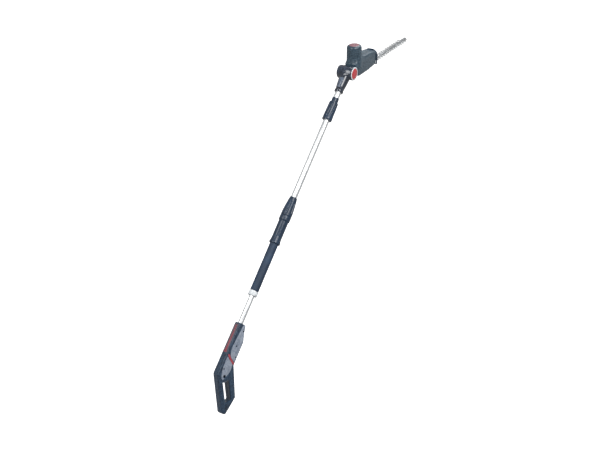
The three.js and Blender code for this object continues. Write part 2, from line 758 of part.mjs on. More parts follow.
piece(head, "head_shell_left", housingCasing.intersect(leftHalf), slate);

const capBase = motor.top - 16 + gap;
piece(
  head,
  "motor_cap",
  alongUp(
    turned([
      [0, capBase],
      [motor.shoulder - 0.3, capBase],
      [motor.shoulder - 0.8, capBase + 4],
      [motor.shoulder - 4, capBase + 10],
      [motor.shoulder - 12, capBase + 14.4],
      [0, motor.top],
    ], 32),
    motorCentre,
  ),
  red,
);

// A shape in X and Y, thick along Z.
function plate(shape, z0, z1, edge = 0) {
  const geometry = new THREE.ExtrudeGeometry(shape, {
    depth: z1 - z0 - 2 * edge,
    bevelEnabled: edge > 0,
    bevelThickness: edge,
    bevelSize: edge,
    bevelOffset: -edge,
    bevelSegments: 2,
    curveSegments: 5,
  });
  return toSolid(geometry.translate(0, 0, z0 + edge));
}
const guardFace = housing.front + gap;
const guardReach = housing.halfWidth + 3;
const guardShape = outline([
  [guardReach, housing.bottom - 1, 8],
  [guardReach, -30, 16],
  [18, -45, 8],
  [-18, -45, 8],
  [-guardReach, -30, 16],
  [-guardReach, housing.bottom - 1, 8],
]);
const guardSolid = plate(guardShape, guardFace, guardFace + 6, 1.5);
piece(head, "front_guard", guardSolid.subtract(barSlot), navy);

const soleTop = housing.bottom + gap;
const soleSolid = block(-27, 27, soleTop, soleTop + 3.5, 74, 184);
const soleFoot = block(-7, 7, soleTop + 1, soleTop + 11, 172, 183.6);
piece(head, "sole_plate", soleSolid.add(soleFoot), navy);

// Cutter: two toothed blades under a stiff guide bar, in planes across Y.
const flat = new THREE.Matrix4().makeBasis(
  new THREE.Vector3(1, 0, 0),
  new THREE.Vector3(0, 0, 1),
  new THREE.Vector3(0, -1, 0),
);
function sheet(shape, y0, y1) {
  const settings = { depth: y1 - y0, bevelEnabled: false, curveSegments: 6 };
  const geometry = new THREE.ExtrudeGeometry(shape, settings);
  return toSolid(geometry.applyMatrix4(flat).translate(0, y1, 0));
}
const layerGap = 0.2;
const barTop = cutter.plane - layerGap - bar.thickness;
const upperBlade = { y0: cutter.plane, y1: cutter.plane + cutter.thickness };
const lowerBlade = { y0: upperBlade.y1 + layerGap, y1: upperBlade.y1 + layerGap + cutter.thickness };
const bladeStart = gearCentre + 61.3;
const toothStart = 272;
const barBolts = [330, 560];
const boltSize = { radius: 2.5, head: 5, headHeight: 2 };

function bladeShape(shift) {
  const side = [];
  const count = Math.floor((cutter.tip - 12 - toothStart - shift) / cutter.pitch);
  for (let i = 0; i < count; i += 1) {
    const z = toothStart + shift + cutter.pitch * i;
    side.push([cutter.halfWidth, z], [cutter.toothTip, z + 4.5]);
    side.push([cutter.toothTip, z + 8.5], [cutter.halfWidth, z + 13]);
  }
  const tailHalf = 11;
  const right = [
    [tailHalf, bladeStart],
    [tailHalf, toothStart - 12],
    [cutter.halfWidth, toothStart - 7],
    ...side,
    [cutter.halfWidth, cutter.tip - 8],
  ];
  const left = right.map(([x, z]) => [-x, z]).reverse();
  const shape = outline([...right, ...left]);
  barBolts.forEach((z) => {
    const reach = cutter.stroke + boltSize.radius + gap;
    const half = boltSize.radius + gap;
    shape.holes.push(outline([[-half, z - reach], [-half, z + reach], [half, z + reach], [half, z - reach]]));
  });
  return shape;
}
piece(head, "upper_blade", sheet(bladeShape(0), upperBlade.y0, upperBlade.y1), steel);
piece(head, "lower_blade", sheet(bladeShape(cutter.pitch / 2), lowerBlade.y0, lowerBlade.y1), steel);

const barShape = outline([
  [bar.halfWidth, 150],
  [bar.halfWidth, cutter.tip, 3],
  [-bar.halfWidth, cutter.tip, 3],
  [-bar.halfWidth, 150],
]);
let barSolid = sheet(barShape, barTop, barTop + bar.thickness);
barBolts.forEach((z) => {
  barSolid = barSolid.subtract(alongUp(rod(boltSize.radius + gap, -far, far, 16), z));
});
piece(head, "guide_bar", barSolid, slate);
barBolts.forEach((z, i) => {
  const low = -lowerBlade.y1 - gap;
  const high = -barTop + gap;
  const profile = [
    [0, low - boltSize.headHeight],
    [boltSize.head, low - boltSize.headHeight],
    [boltSize.head, low],
    [boltSize.radius, low],
    [boltSize.radius, high],
    [boltSize.head, high],
    [boltSize.head - 1, high + boltSize.headHeight],
    [0, high + boltSize.headHeight],
  ];
  piece(head, `bar_bolt_${i + 1}`, alongUp(turned(profile, 12), z), steel);
});

// Drive: motor can, rotor with its pinion, drive gear with two eccentrics, and a link to each blade.
const linkBore = 2 * cutter.stroke + gear.eccentric + gear.eyeClearance;
function linkSolid(layer) {
  const big = new THREE.Shape().absarc(0, gearCentre, linkBore + 4, 0, Math.PI * 2);
  const rodHalf = 7;
  const rodFrom = gearCentre + linkBore + 1;
  const rodTo = bladeStart - gap;
  const rodShape = outline([[-rodHalf, rodFrom], [rodHalf, rodFrom], [rodHalf, rodTo], [-rodHalf, rodTo]]);
  const eyeShape = new THREE.Shape().absarc(0, gearCentre, linkBore, 0, Math.PI * 2);
  const joined = sheet(big, layer.y0, layer.y1).add(sheet(rodShape, layer.y0, layer.y1));
  return joined.subtract(sheet(eyeShape, layer.y0 - 1, layer.y1 + 1));
}
piece(head, "upper_drive_link", linkSolid(upperBlade), steel);
piece(head, "lower_drive_link", linkSolid(lowerBlade), steel);

const can = { base: 16, plate: 3, wall: 3.5 };
const canTop = can.base + motor.canLength;
piece(
  head,
  "motor_can",
  alongUp(
    turned([
      [3, can.base],
      [motor.canRadius, can.base],
      [motor.canRadius, canTop],
      [motor.canRadius - can.wall, canTop],
      [motor.canRadius - can.wall, can.base + can.plate],
      [3, can.base + can.plate],
    ], 32),
    motorCentre,
  ),
  steel,
);

function toothedDisc(teeth, phase) {
  const pitchRadius = (gear.module * teeth) / 2;
  const root = pitchRadius - 1.3 * gear.module;
  const tip = pitchRadius + 0.9 * gear.module;
  const step = (Math.PI * 2) / teeth;
  const corners = [];
  for (let i = 0; i < teeth; i += 1) {
    const middle = phase + step * i;
    [[root, -0.34], [tip, -0.14], [tip, 0.14], [root, 0.34]].forEach(([radius, share]) => {
      const angle = middle + share * step;
      corners.push([radius * Math.cos(angle), radius * Math.sin(angle)]);
    });
  }
  return outline(corners);
}
function toothedSolid(teeth, phase, centre, y0, y1) {
  return sheet(toothedDisc(teeth, phase), y0, y1).translate([0, 0, centre]);
}
const pinionShift = Math.PI / 2 + Math.PI / gear.pinionTeeth;
const pinionSolid = toothedSolid(gear.pinionTeeth, pinionShift, motorCentre, 1.5, 10);
const armature = alongUp(
  turned([
    [0, -10],
    [2.5, -10],
    [2.5, can.base + can.plate + 4],
    [motor.canRadius - can.wall - 1.2, can.base + can.plate + 4],
    [motor.canRadius - can.wall - 1.2, canTop - 6],
    [3, canTop - 6],
    [3, canTop + 6],
    [0, canTop + 6],
  ], 24),
  motorCentre,
);
piece(head, "motor_rotor", armature.add(pinionSolid), copper);

const gearFrom = 2;
const gearTo = 9;
function eccentricDisc(side, y0, y1) {
  return alongUp(rod(gear.eccentric, -y1, -y0, 28), gearCentre).translate([side * cutter.stroke, 0, 0]);
}
let driveGear = toothedSolid(gear.teeth, -Math.PI / 2, gearCentre, gearFrom, gearTo);
driveGear = driveGear.add(alongUp(rod(5.5, -upperBlade.y0 - 0.5, 2.5, 24), gearCentre));
driveGear = driveGear.add(eccentricDisc(1, upperBlade.y0 + 0.1, upperBlade.y1 + 0.05));
driveGear = driveGear.add(eccentricDisc(-1, upperBlade.y1, lowerBlade.y1));
piece(head, "drive_gear", driveGear, steel);

const chassis = block(-22, 22, -8, -4, motorCentre - 11, motorCentre + 73).subtract(alongUp(rod(6, -20, 20, 20), motorCentre));
piece(head, "gearbox_plate", chassis.intersect(housingHollow), slate);

export default tool;
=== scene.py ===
# %% [markdown]
# # A telescoping pole trimmer
#
# A battery handle carries a telescoping aluminium pole, and the pole ends in a tilting head with a
# double-sided cutter bar. The frame gives every piece its place and its joints. Each cell below makes
# one kind of piece or one finish, and most of them print what they made.

# %% The frame
import bmesh
import bpy
import json
import math
from mathutils import Matrix, Vector

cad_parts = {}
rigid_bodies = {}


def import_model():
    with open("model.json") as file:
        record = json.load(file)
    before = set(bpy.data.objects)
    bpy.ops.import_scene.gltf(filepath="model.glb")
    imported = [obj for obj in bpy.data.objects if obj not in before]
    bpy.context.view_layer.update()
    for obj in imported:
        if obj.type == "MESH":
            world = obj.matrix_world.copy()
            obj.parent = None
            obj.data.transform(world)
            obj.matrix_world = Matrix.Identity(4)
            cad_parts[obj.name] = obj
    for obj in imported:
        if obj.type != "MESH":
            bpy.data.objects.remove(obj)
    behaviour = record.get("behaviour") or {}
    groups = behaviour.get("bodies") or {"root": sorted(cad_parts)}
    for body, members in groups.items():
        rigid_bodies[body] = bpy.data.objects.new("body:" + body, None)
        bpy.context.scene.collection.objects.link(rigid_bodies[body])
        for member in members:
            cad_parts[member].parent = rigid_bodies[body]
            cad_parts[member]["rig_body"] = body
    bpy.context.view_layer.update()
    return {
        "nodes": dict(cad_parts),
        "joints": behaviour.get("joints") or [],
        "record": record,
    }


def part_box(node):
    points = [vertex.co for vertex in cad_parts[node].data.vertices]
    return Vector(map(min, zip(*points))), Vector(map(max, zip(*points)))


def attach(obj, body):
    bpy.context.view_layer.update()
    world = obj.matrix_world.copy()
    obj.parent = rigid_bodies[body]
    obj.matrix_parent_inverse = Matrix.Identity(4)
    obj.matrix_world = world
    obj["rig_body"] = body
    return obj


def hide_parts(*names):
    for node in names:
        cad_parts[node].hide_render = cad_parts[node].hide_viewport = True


for spare in list(bpy.data.objects):
    bpy.data.objects.remove(spare)
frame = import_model()
nodes = frame["nodes"]
JOINTS = {joint["name"]: joint for joint in frame["joints"]}
SLOT_OF = {part["node"]: part["material_slot"] for part in frame["record"]["subparts"]}
BODY_OF = {name: thing["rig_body"] for name, thing in nodes.items()}
MM = 0.001

# %% [markdown]
# ## Shader arithmetic
#
# A finish is a small calculation over the surface: a grain, a mask, a mix of two tones. This class
# wraps a socket so that the calculation reads as ordinary arithmetic. `make` adds any other node.

# %% One class for shader sockets
class Sock:
    """One output of a material's nodes. Arithmetic on it adds Math nodes."""

    def __init__(self, tree, socket):
        self.tree = tree
        self.socket = socket

    def feed(self, target, value):
        if isinstance(value, Sock):
            self.tree.links.new(value.socket, target)
        else:
            target.default_value = value

    def make(self, kind, settings=None, output=0, **inputs):
        node = self.tree.nodes.new("ShaderNode" + kind)
        for key, value in (settings or {}).items():
            setattr(node, key, value)
        for key, value in inputs.items():
            place = int(key[1:]) if key[0] == "i" and key[1:].isdigit() else key.replace("_", " ")
            self.feed(node.inputs[place], value)
        return Sock(self.tree, node.outputs[output])

    def math(self, operation, first, second=0.0, clamp=False):
        return self.make("Math", {"operation": operation, "use_clamp": clamp}, i0=first, i1=second)

    def __add__(self, other):
        return self.math("ADD", self, other)

    __radd__ = __add__

    def __sub__(self, other):
        return self.math("SUBTRACT", self, other)

    def __rsub__(self, other):
        return self.math("SUBTRACT", other, self)

    def __mul__(self, other):
        return self.math("MULTIPLY", self, other)

    __rmul__ = __mul__

    def __truediv__(self, other):
        return self.math("DIVIDE", self, other)

    def __rtruediv__(self, other):
        return self.math("DIVIDE", other, self)

    def __pow__(self, other):
        return self.math("POWER", self, other)

    def ramp(self, low, high, to_low=0.0, to_high=1.0):
        settings = {"interpolation_type": "SMOOTHSTEP"}
        return self.make("MapRange", settings, i0=self, i1=low, i2=high, i3=to_low, i4=to_high)

    def blend(self, first, second):
        """Colour `first` where this is 0, `second` where it is 1."""
        return self.make("Mix", {"data_type": "RGBA"}, output=2, i0=self, i6=first, i7=second)


print("shader arithmetic is ready")

# %% [markdown]
# ## Ingredients that every finish shares
#
# Grain is noise measured in metres of the object, so that a 1 mm texture stays 1 mm on every piece.
# Streaks are the same noise, squeezed across one direction. Wear follows the convex edges, which each
# piece carries as an attribute called `edge`.

# %% Grain, streaks, wear and the body of a material
def tone(red, green, blue):
    """A colour given as 0 to 255 display values, as linear light."""
    linear = []
    for value in (red, green, blue):
        share = value / 255
        linear.append(share / 12.92 if share <= 0.04045 else ((share + 0.055) / 1.055) ** 2.4)
    return (*linear, 1.0)


class Surface:
    """A material under construction, with its coordinates and its principled shader."""

    def __init__(self, name):
        self.material = bpy.data.materials.new(name)
        self.material.use_nodes = True
        tree = self.material.node_tree
        tree.nodes.clear()
        self.start = Sock(tree, None)
        self.place = self.start.make("TexCoord", output="Object")
        self.shader = tree.nodes.new("ShaderNodeBsdfPrincipled")
        out = tree.nodes.new("ShaderNodeOutputMaterial")
        tree.links.new(self.shader.outputs[0], out.inputs[0])
        self.edge = self.start.make("Attribute", {"attribute_name": "edge"}, output="Fac")

    def set(self, **values):
        for key, value in values.items():
            self.start.feed(self.shader.inputs[key.replace("_", " ")], value)

    def grain(self, per_metre, detail=3.0, roughness=0.55, stretch=(1, 1, 1), turn=(0, 0, 0)):
        where = self.start.make("Mapping", Vector=self.place, Scale=stretch, Rotation=turn)
        return self.start.make(
            "TexNoise", Vector=where, Scale=per_metre, Detail=detail, Roughness=roughness,
        )

    def bump(self, height, distance, strength=1.0, under=None):
        inputs = {"Height": height, "Distance": distance, "Strength": strength}
        if under is not None:
            inputs["Normal"] = under
        return self.start.make("Bump", **inputs)


FINISH = {}
print("ingredients are ready")

# %% [markdown]
# ## Moulded plastic
#
# The shells come out of a spark-eroded tool, so they carry a fine, even texture. Handling polishes it
# on the edges, and dust and scuffs break up the sheen. One recipe serves the dark shells, the head's
# slate shells, the light panels and the pale trim, each with its own tones.

# %% The moulded finishes
def moulded(slot_name, base, deep, worn, rough, texture=0.00006, coat=0.0):
    s = Surface(slot_name)
    cloudy = s.grain(17).ramp(0.38, 0.66)
    body = cloudy.blend(deep, base)
    speck = s.grain(1400, 1.0).ramp(0.62, 0.74) * 0.10
    body = speck.blend(body, worn)
    scuff = s.grain(55, 5.0, 0.6, (1, 1, 0.25)).ramp(0.60, 0.70)
    rubbed = (s.edge * s.grain(130, 4.0).ramp(0.36, 0.62)) * 0.55
    s.set(Base_Color=rubbed.blend(body, worn))
    s.set(Roughness=(s.grain(30, 4.0) * 0.16) + (rough - 0.08) + (scuff * 0.10) - (rubbed * 0.12))
    fine = s.bump(s.grain(950, 2.0), texture)
    s.set(Normal=s.bump(scuff, 0.00002, 1.0, fine))
    s.set(Coat_Weight=coat, Coat_Roughness=0.2)
    FINISH[slot_name] = s.material
    return s


moulded("shell", tone(20, 42, 64), tone(13, 31, 50), tone(66, 88, 110), 0.34)
moulded("head_shell", tone(42, 62, 76), tone(32, 50, 63), tone(92, 110, 122), 0.34)
moulded("panel", tone(124, 133, 148), tone(108, 118, 135), tone(166, 174, 184), 0.38)
moulded("face", tone(66, 76, 92), tone(52, 61, 78), tone(120, 130, 144), 0.30)
moulded("pale", tone(206, 210, 213), tone(188, 194, 198), tone(226, 228, 229), 0.42)
print("moulded finishes:", sorted(FINISH))

# %% [markdown]
# ## Glossy mouldings
#
# The red trims and the button are polished in the tool, with a faint flow pattern under the gloss.
# The elbow is a glossy black moulding with fine hairline scratches. The stripe and the dome's crown
# are a duller red than the button, which is the one thing here that a hand has to find.

# %% The glossy finishes
def glossy(slot_name, base, deep, worn, rough):
    s = Surface(slot_name)
    flow = s.grain(24, 2.0, 0.5, (1, 1, 0.4)).ramp(0.35, 0.68)
    hair = s.grain(900, 2.0, 0.5, (1, 0.04, 0.3), (0.4, 0.2, 0.9)).ramp(0.66, 0.72)
    rubbed = (s.edge * s.grain(170, 4.0).ramp(0.40, 0.60)) * 0.5
    s.set(Base_Color=rubbed.blend(flow.blend(deep, base), worn))
    s.set(Roughness=(s.grain(40, 4.0) * 0.12) + (rough - 0.05) + (hair * 0.14))
    s.set(Normal=s.bump((s.grain(120, 2.0) * 0.5) + hair, 0.00003))
    s.set(Coat_Weight=0.5, Coat_Roughness=0.08)
    FINISH[slot_name] = s.material
    return s


glossy("accent", tone(150, 30, 48), tone(122, 20, 38), tone(190, 96, 106), 0.26)
glossy("elbow_gloss", tone(15, 24, 40), tone(9, 16, 30), tone(62, 76, 96), 0.20)
glossy("lens_red", tone(186, 34, 44), tone(146, 20, 32), tone(220, 110, 112), 0.20)
glossy("stripe_red", tone(128, 38, 56), tone(98, 28, 46), tone(178, 100, 112), 0.28)
glossy("crown", tone(112, 62, 72), tone(84, 44, 56), tone(160, 110, 116), 0.30)
print("glossy finishes added:", len(FINISH))

# %% [markdown]
# ## Metal
#
# The tubes are drawn aluminium with a clear anodised skin: fine lines run along them, and sliding
# leaves faint rings of scuffing. The cutter is ground across its width, and its tooth edges shine.

# %% The metal finishes
def drawn_tube():
    s = Surface("tube")
    lines = s.grain(420, 2.0, 0.5, (1, 1, 0.004))
    bloom = s.grain(9, 3.0)
    scuffs = s.grain(240, 4.0, 0.6, (0.15, 0.15, 1)).ramp(0.64, 0.78)
    patina = bloom.ramp(0.3, 0.7) * 0.6 + lines * 0.4
    s.set(Base_Color=patina.blend(tone(214, 217, 220), tone(242, 244, 245)))
    s.set(Metallic=(1.0 - scuffs * 0.10))
    s.set(Roughness=(lines * 0.08) + (scuffs * 0.08) + 0.34)
    s.set(Normal=s.bump(lines, 0.000006, 0.5))
    FINISH["tube"] = s.material


def ground_steel(name, light, dark):
    s = Surface(name)
    across = s.grain(700, 3.0, 0.6, (0.05, 1, 1))
    stain = s.grain(26, 5.0, 0.6).ramp(0.46, 0.72)
    body = stain.blend(light, dark)
    bright = (s.edge * s.grain(90).ramp(0.2, 0.5)) * 0.5
    s.set(Base_Color=bright.blend(body, tone(236, 238, 238)))
    s.set(Metallic=1.0 - stain * 0.12)
    s.set(Roughness=(across * 0.18) + (stain * 0.14) + 0.20 - (bright * 0.10))
    s.set(Normal=s.bump(across, 0.00003))
    FINISH[name] = s.material


def varnished_copper():
    s = Surface("winding")
    turns = s.start.make("TexWave", {"wave_type": "BANDS", "bands_direction": "Z"}, output=1,
                         Vector=s.place, Scale=260.0, Distortion=1.4)
    s.set(Base_Color=turns.blend(tone(96, 52, 28), tone(190, 116, 66)))
    s.set(Metallic=turns.ramp(0.1, 0.6, 0.6, 0.95))
    s.set(Roughness=s.grain(200) * 0.3 + 0.22)
    s.set(Normal=s.bump(turns, 0.0001))
    FINISH["winding"] = s.material


drawn_tube()
ground_steel("steel", tone(196, 198, 200), tone(158, 160, 163))
ground_steel("bar_steel", tone(112, 117, 124), tone(84, 89, 96))
varnished_copper()
print("metal finishes added:", len(FINISH))

# %% [markdown]
# ## Foam and soft rubber
#
# The pole grip is closed-cell foam: matt, with open pores where its skin was cut, and each pore's pit
# carries painted shade, a darker tone. The palm pad is a soft overmould with a fine leathery pebble, a
# little shinier where a hand rubs it.

# %% The soft finishes
def cell_foam():
    s = Surface("foam")
    cells = s.start.make("TexVoronoi", {"feature": "F1"}, Vector=s.place, Scale=900.0)
    pits = s.start.make("TexVoronoi", {"feature": "F1"}, Vector=s.place, Scale=330.0)
    pit_depth_and_shade = pits.ramp(0.05, 0.28)
    rubbed = s.grain(20, 4.0).ramp(0.42, 0.66)
    body = rubbed.blend(tone(22, 42, 64), tone(32, 55, 80))
    # Painted shade: the pits of the pores take the darker tone, as shade falling into them. The same mask
    # also dents the bump.
    s.set(Base_Color=pit_depth_and_shade.blend(tone(20, 29, 40), body))
    s.set(Roughness=s.grain(60) * 0.12 + 0.56)
    s.set(Normal=s.bump(cells, 0.00016, 0.8, s.bump(pit_depth_and_shade, 0.00022)))
    FINISH["foam"] = s.material


def soft_rubber():
    s = Surface("soft_grip")
    pebble = s.start.make("TexVoronoi", {"feature": "SMOOTH_F1"}, Vector=s.place, Scale=620.0)
    rubbed = s.grain(26, 4.0).ramp(0.44, 0.68)
    body = rubbed.blend(tone(58, 52, 63), tone(76, 66, 77))
    s.set(Base_Color=(s.edge * 0.4).blend(body, tone(132, 120, 126)))
    s.set(Roughness=0.74 - rubbed * 0.14 + pebble * 0.06)
    s.set(Normal=s.bump(pebble, 0.00018, 0.8))
    FINISH["soft_grip"] = s.material


cell_foam()
soft_rubber()
print("soft finishes added:", len(FINISH))

# %% [markdown]
# ## From the frame's solids to finished pieces
#
# A real moulding has no knife edges: its corners are broken by a small radius that catches the light.
# Each piece starts as a copy of the frame's solid, is welded, loses its flat triangulation, and gets
# its convex edges rounded. The rounding also says where wear belongs.

# %% Welding, rounding and the wear attribute
WELD = 0.012 * MM
FLAT = math.radians(0.7)


def welded_raw(name):
    """The frame's solid with its triangles welded to each other."""
    mesh = bmesh.new()
    mesh.from_mesh(nodes[name].data)
    bmesh.ops.remove_doubles(mesh, verts=mesh.verts, dist=WELD)
    return mesh


def welded(name):
    """The same, with flat areas made into single faces."""
    mesh = welded_raw(name)
    bmesh.ops.dissolve_limit(mesh, angle_limit=FLAT, verts=mesh.verts, edges=mesh.edges)
    bmesh.ops.recalc_face_normals(mesh, faces=mesh.faces)
    return mesh


def bend_of(edge):
    """The angle at an edge: positive where the surface is convex."""
    if len(edge.link_faces) != 2:
        return 0.0
    return edge.calc_face_angle_signed(0.0)


def rounded(mesh, width, sharp=32, steps=2):
    limit = math.radians(sharp)
    edges = [edge for edge in mesh.edges if bend_of(edge) > limit]
    if edges and width > 0:
        bmesh.ops.bevel(
            mesh, geom=edges, offset=width, segments=steps, profile=0.5,
            affect="EDGES", clamp_overlap=True,
        )
    return mesh


def mark_edges(mesh):
    layer = mesh.verts.layers.float.new("edge")
    for vert in mesh.verts:
        bends = [bend_of(edge) for edge in vert.link_edges]
        vert[layer] = min(1.0, max(0.0, max(bends, default=0.0)) / 0.5)


def make_piece(mesh, name, body, finish, stands_for=(), smooth=34):
    mark_edges(mesh)
    data = bpy.data.meshes.new(name)
    mesh.to_mesh(data)
    mesh.free()
    data.shade_smooth()
    data.set_sharp_from_angle(angle=math.radians(smooth))
    thing = bpy.data.objects.new(name, data)
    bpy.context.scene.collection.objects.link(thing)
    data.materials.append(FINISH[finish])
    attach(thing, body)
    if stands_for:
        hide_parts(*stands_for)
    return thing


def refine(name, width=0.6, finish=None, sharp=32, smooth=34, steps=2):
    """The finished piece that stands for one solid, its convex edges rounded by `width` millimetres."""
    mesh = rounded(welded(name), width * MM, sharp, steps)
    slot_name = SLOT_OF[name]
    return make_piece(mesh, name + "_moulding", BODY_OF[name], finish or slot_name, [name], smooth)


print("piece makers are ready")

# %% [markdown]
# ## Turned pieces
#
# Tubes, the foam, the flange, the sleeve and the motor's dome are round. Their outline is read from
# the frame's own solid, by walking the edges that lie in one half-plane through its axis. The outline's
# corners are rounded and it is spun again with three or four times as many facets.

# %% Reading an outline and spinning it
HINGE = Vector((0, 0, 0.5 * (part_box("hinge_bolt")[0].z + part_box("hinge_bolt")[1].z)))
TILT_AXIS = Vector(JOINTS["head_tilt"]["axis"]).normalized()


def frame_along(centre, axis):
    """Turns an upright shape so that it lies along `axis` through `centre`."""
    return Matrix.Translation(centre) @ axis.to_track_quat("Z", "Y").to_matrix().to_4x4()


UPRIGHT = Matrix.Identity(4)


def outline_of(name, place, wanted=None):
    """The closed or open outline of a turned solid, as (radius, height) pairs."""
    mesh = welded_raw(name)
    back = place.inverted()
    spots = {vert: back @ vert.co for vert in mesh.verts}
    polar = {v: (math.hypot(p.x, p.y), p.z, math.atan2(p.y, p.x)) for v, p in spots.items()}
    rim = [v for v, (r, _, _) in polar.items() if r > 0.2 * MM]
    if wanted is None:
        wanted = polar[rim[0]][2]
    else:
        wanted = min((polar[v][2] for v in rim), key=lambda a: abs(a - wanted))

    def in_plane(vert):
        radius, _, angle = polar[vert]
        turn = (angle - wanted + math.pi) % (2 * math.pi) - math.pi
        return radius <= 0.2 * MM or abs(turn) * radius < 0.02 * MM

    chosen = {v for v in mesh.verts if in_plane(v)}
    near = {v: [e.other_vert(v) for e in v.link_edges if e.other_vert(v) in chosen] for v in chosen}
    start = next((v for v in chosen if polar[v][0] <= 0.2 * MM), next(iter(chosen)))
    walk, seen = [start], {start}
    while True:
        steps = [v for v in near[walk[-1]] if v not in seen]
        if not steps:
            break
        walk.append(steps[0])
        seen.add(steps[0])
    points = [(0.0 if polar[v][0] <= 0.2 * MM else polar[v][0], polar[v][1]) for v in walk]
    closed = points[0][0] > 0
    mesh.free()
    return points, closed


def eased(points, closed, radius):
    """The same outline with each corner replaced by a short curve inside it."""
    made = []
    count = len(points)
    for i, (r, h) in enumerate(points):
        here = Vector((r, h))
        if not closed and i in (0, count - 1):
            made.append((r, h))
            continue
        before = Vector(points[i - 1])
        after = Vector(points[(i + 1) % count])
        lead, trail = here - before, after - here
        if lead.length < 1e-7 or trail.length < 1e-7:
            continue
        if abs(lead.angle_signed(trail, 0.0)) < math.radians(3):
            made.append((r, h))
            continue
        reach = min(radius, 0.42 * lead.length, 0.42 * trail.length)
        first, last = here - lead.normalized() * reach, here + trail.normalized() * reach
        for t in (0.0, 0.33, 0.67, 1.0):
            spot = first * (1 - t) ** 2 + here * (2 * t * (1 - t)) + last * t * t
            made.append((max(spot.x, 0.0), spot.y))
    return made


def finer(points, closed, step):
    """The same outline with long straight stretches cut into short ones."""
    made = []
    count = len(points)
    for i in range(count if closed else count - 1):
        start, end = Vector(points[i]), Vector(points[(i + 1) % count])
        cuts = max(1, round((end - start).length / step))
        made += [tuple(start.lerp(end, k / cuts)) for k in range(cuts)]
    return made if closed else made + [points[-1]]


def spin(points, closed, place, segments=96, shape=None):
    mesh = bmesh.new()
    rings = []
    for radius, height in points:
        if radius < 1e-7:
            rings.append([mesh.verts.new(place @ Vector((0, 0, height)))])
            continue
        ring = []
        for i in range(segments):
            angle = 2 * math.pi * i / segments
            reach = shape(angle, height, radius) if shape else radius
            spot = Vector((reach * math.cos(angle), reach * math.sin(angle), height))
            ring.append(mesh.verts.new(place @ spot))
        rings.append(ring)
    pairs = list(zip(rings, rings[1:])) + ([(rings[-1], rings[0])] if closed else [])
    for lower, upper in pairs:
        for i in range(segments):
            j = (i + 1) % segments
            if len(lower) == 1 and len(upper) == 1:
                continue
            if len(lower) == 1:
                mesh.faces.new((lower[0], upper[j], upper[i]))
            elif len(upper) == 1:
                mesh.faces.new((lower[i], lower[j], upper[0]))
            else:
                mesh.faces.new((lower[i], lower[j], upper[j], upper[i]))
    bmesh.ops.recalc_face_normals(mesh, faces=mesh.faces)
    return mesh


def respin(name, place=UPRIGHT, ease=0.8, finish=None, segments=96, angle=None, step=None, shape=None):
    points, closed = outline_of(name, place, angle)
    points = eased(points, closed, ease * MM)
    if step:
        points = finer(points, closed, step * MM)
    mesh = spin(points, closed, place, segments, shape)
    slot_name = SLOT_OF[name]
    return make_piece(mesh, name + "_turned", BODY_OF[name], finish or slot_name, [name])


for name in ("lower_tube", "outer_tube", "upper_tube", "stub_tube"):
    respin(name, ease=0.35)
for name in ("hand_stop", "mid_sleeve", "guide_bush", "coupling_plug"):
    respin(name, ease=1.2)

# %% [markdown]
# ## The foam grip
#
# The grip is a foam sleeve pushed over the outer tube. Foam isn't perfectly straight, so its surface
# swells by a few tenths of a millimetre along its length, always inside the frame's solid.

# %% The foam sleeve
FOAM_LOW, FOAM_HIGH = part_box("foam_grip")


def soft_surface(angle, height, radius):
    if radius < 0.95 * FOAM_HIGH.x:
        return radius
    wave = math.sin(61 * height + 1.3) * math.cos(3 * angle + 17 * height)
    return radius - (0.28 + 0.22 * wave) * MM


foam = respin("foam_grip", ease=2.2, step=4, shape=soft_surface)
print("foam grip:", round((FOAM_HIGH.z - FOAM_LOW.z) * 1000), "mm long")

# %% [markdown]
# ## The twist lock and the coupling nut
#
# Both are gripped by hand, so they are fluted. The twist lock has eight long finger grooves on a cone.
# The coupling nut has ten slanted ribs under a plain shoulder. The twist lock's outline comes from the
# frame's solid, between two grooves. No half-plane misses the slanted ribs, so the coupling nut's outline
# is laid out from the frame's boxes. Both are spun with about 200 facets, and the grooves are pressed in.

# %% Fluted nuts
def fluted(low, high, count, depth, width, lean, inner, first=math.pi / 2):
    def shape(angle, height, radius):
        share = (height - low) / (high - low)
        if radius < inner or not 0 < share < 1:
            return radius
        window = min(1.0, 5.5 * share, 5.5 * (1 - share))
        window = window * window * (3 - 2 * window)
        turn = (angle - first - lean * (share - 0.5)) * count / (2 * math.pi)
        away = abs(turn - round(turn)) * 2 * math.pi * radius / count
        dent = max(0.0, 1 - (away / width) ** 2)
        return radius - depth * window * dent * dent * (3 - 2 * dent)
    return shape


nut_low, nut_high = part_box("twist_lock_nut")
nut_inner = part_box("clamping_collet")[1].y + 1.2 * MM
flutes = fluted(nut_low.z + 8 * MM, nut_high.z - 20 * MM, 8, 2.5 * MM, 5.4 * MM, 0.0, nut_inner)
respin("twist_lock_nut", ease=1.0, segments=192, angle=math.radians(22.5), step=1.6, shape=flutes)
cup_low, cup_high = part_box("coupling_nut")
cup_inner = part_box("upper_tube")[1].y + 3.2 * MM
ribs = fluted(cup_low.z + 8 * MM, cup_high.z - 34 * MM, 10, 1.7 * MM, 3.6 * MM, 0.35, cup_inner)
cup_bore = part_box("upper_tube")[1].y + 0.35 * MM
cup_base, cup_neck = cup_high.y - 0.1 * MM, cup_bore + 1.5 * MM
cup_foot, cup_top = cup_low.z + 0.02 * MM, cup_high.z - 0.02 * MM
cup_outline = [
    (cup_bore, cup_foot), (cup_base - 1.5 * MM, cup_foot), (cup_base, cup_foot + 3 * MM),
    (cup_base - 0.8 * MM, cup_foot + 40 * MM), (cup_base - 2.2 * MM, cup_top - 28 * MM),
    (cup_base - 4.2 * MM, cup_top - 24 * MM), (cup_neck, cup_top - 23 * MM), (cup_neck, cup_top),
    (cup_bore, cup_top),
]
cup = spin(finer(eased(cup_outline, True, 1 * MM), True, 1.6 * MM), True, UPRIGHT, 200, ribs)
make_piece(cup, "coupling_nut_turned", "coupling_nut", "shell", ["coupling_nut"])

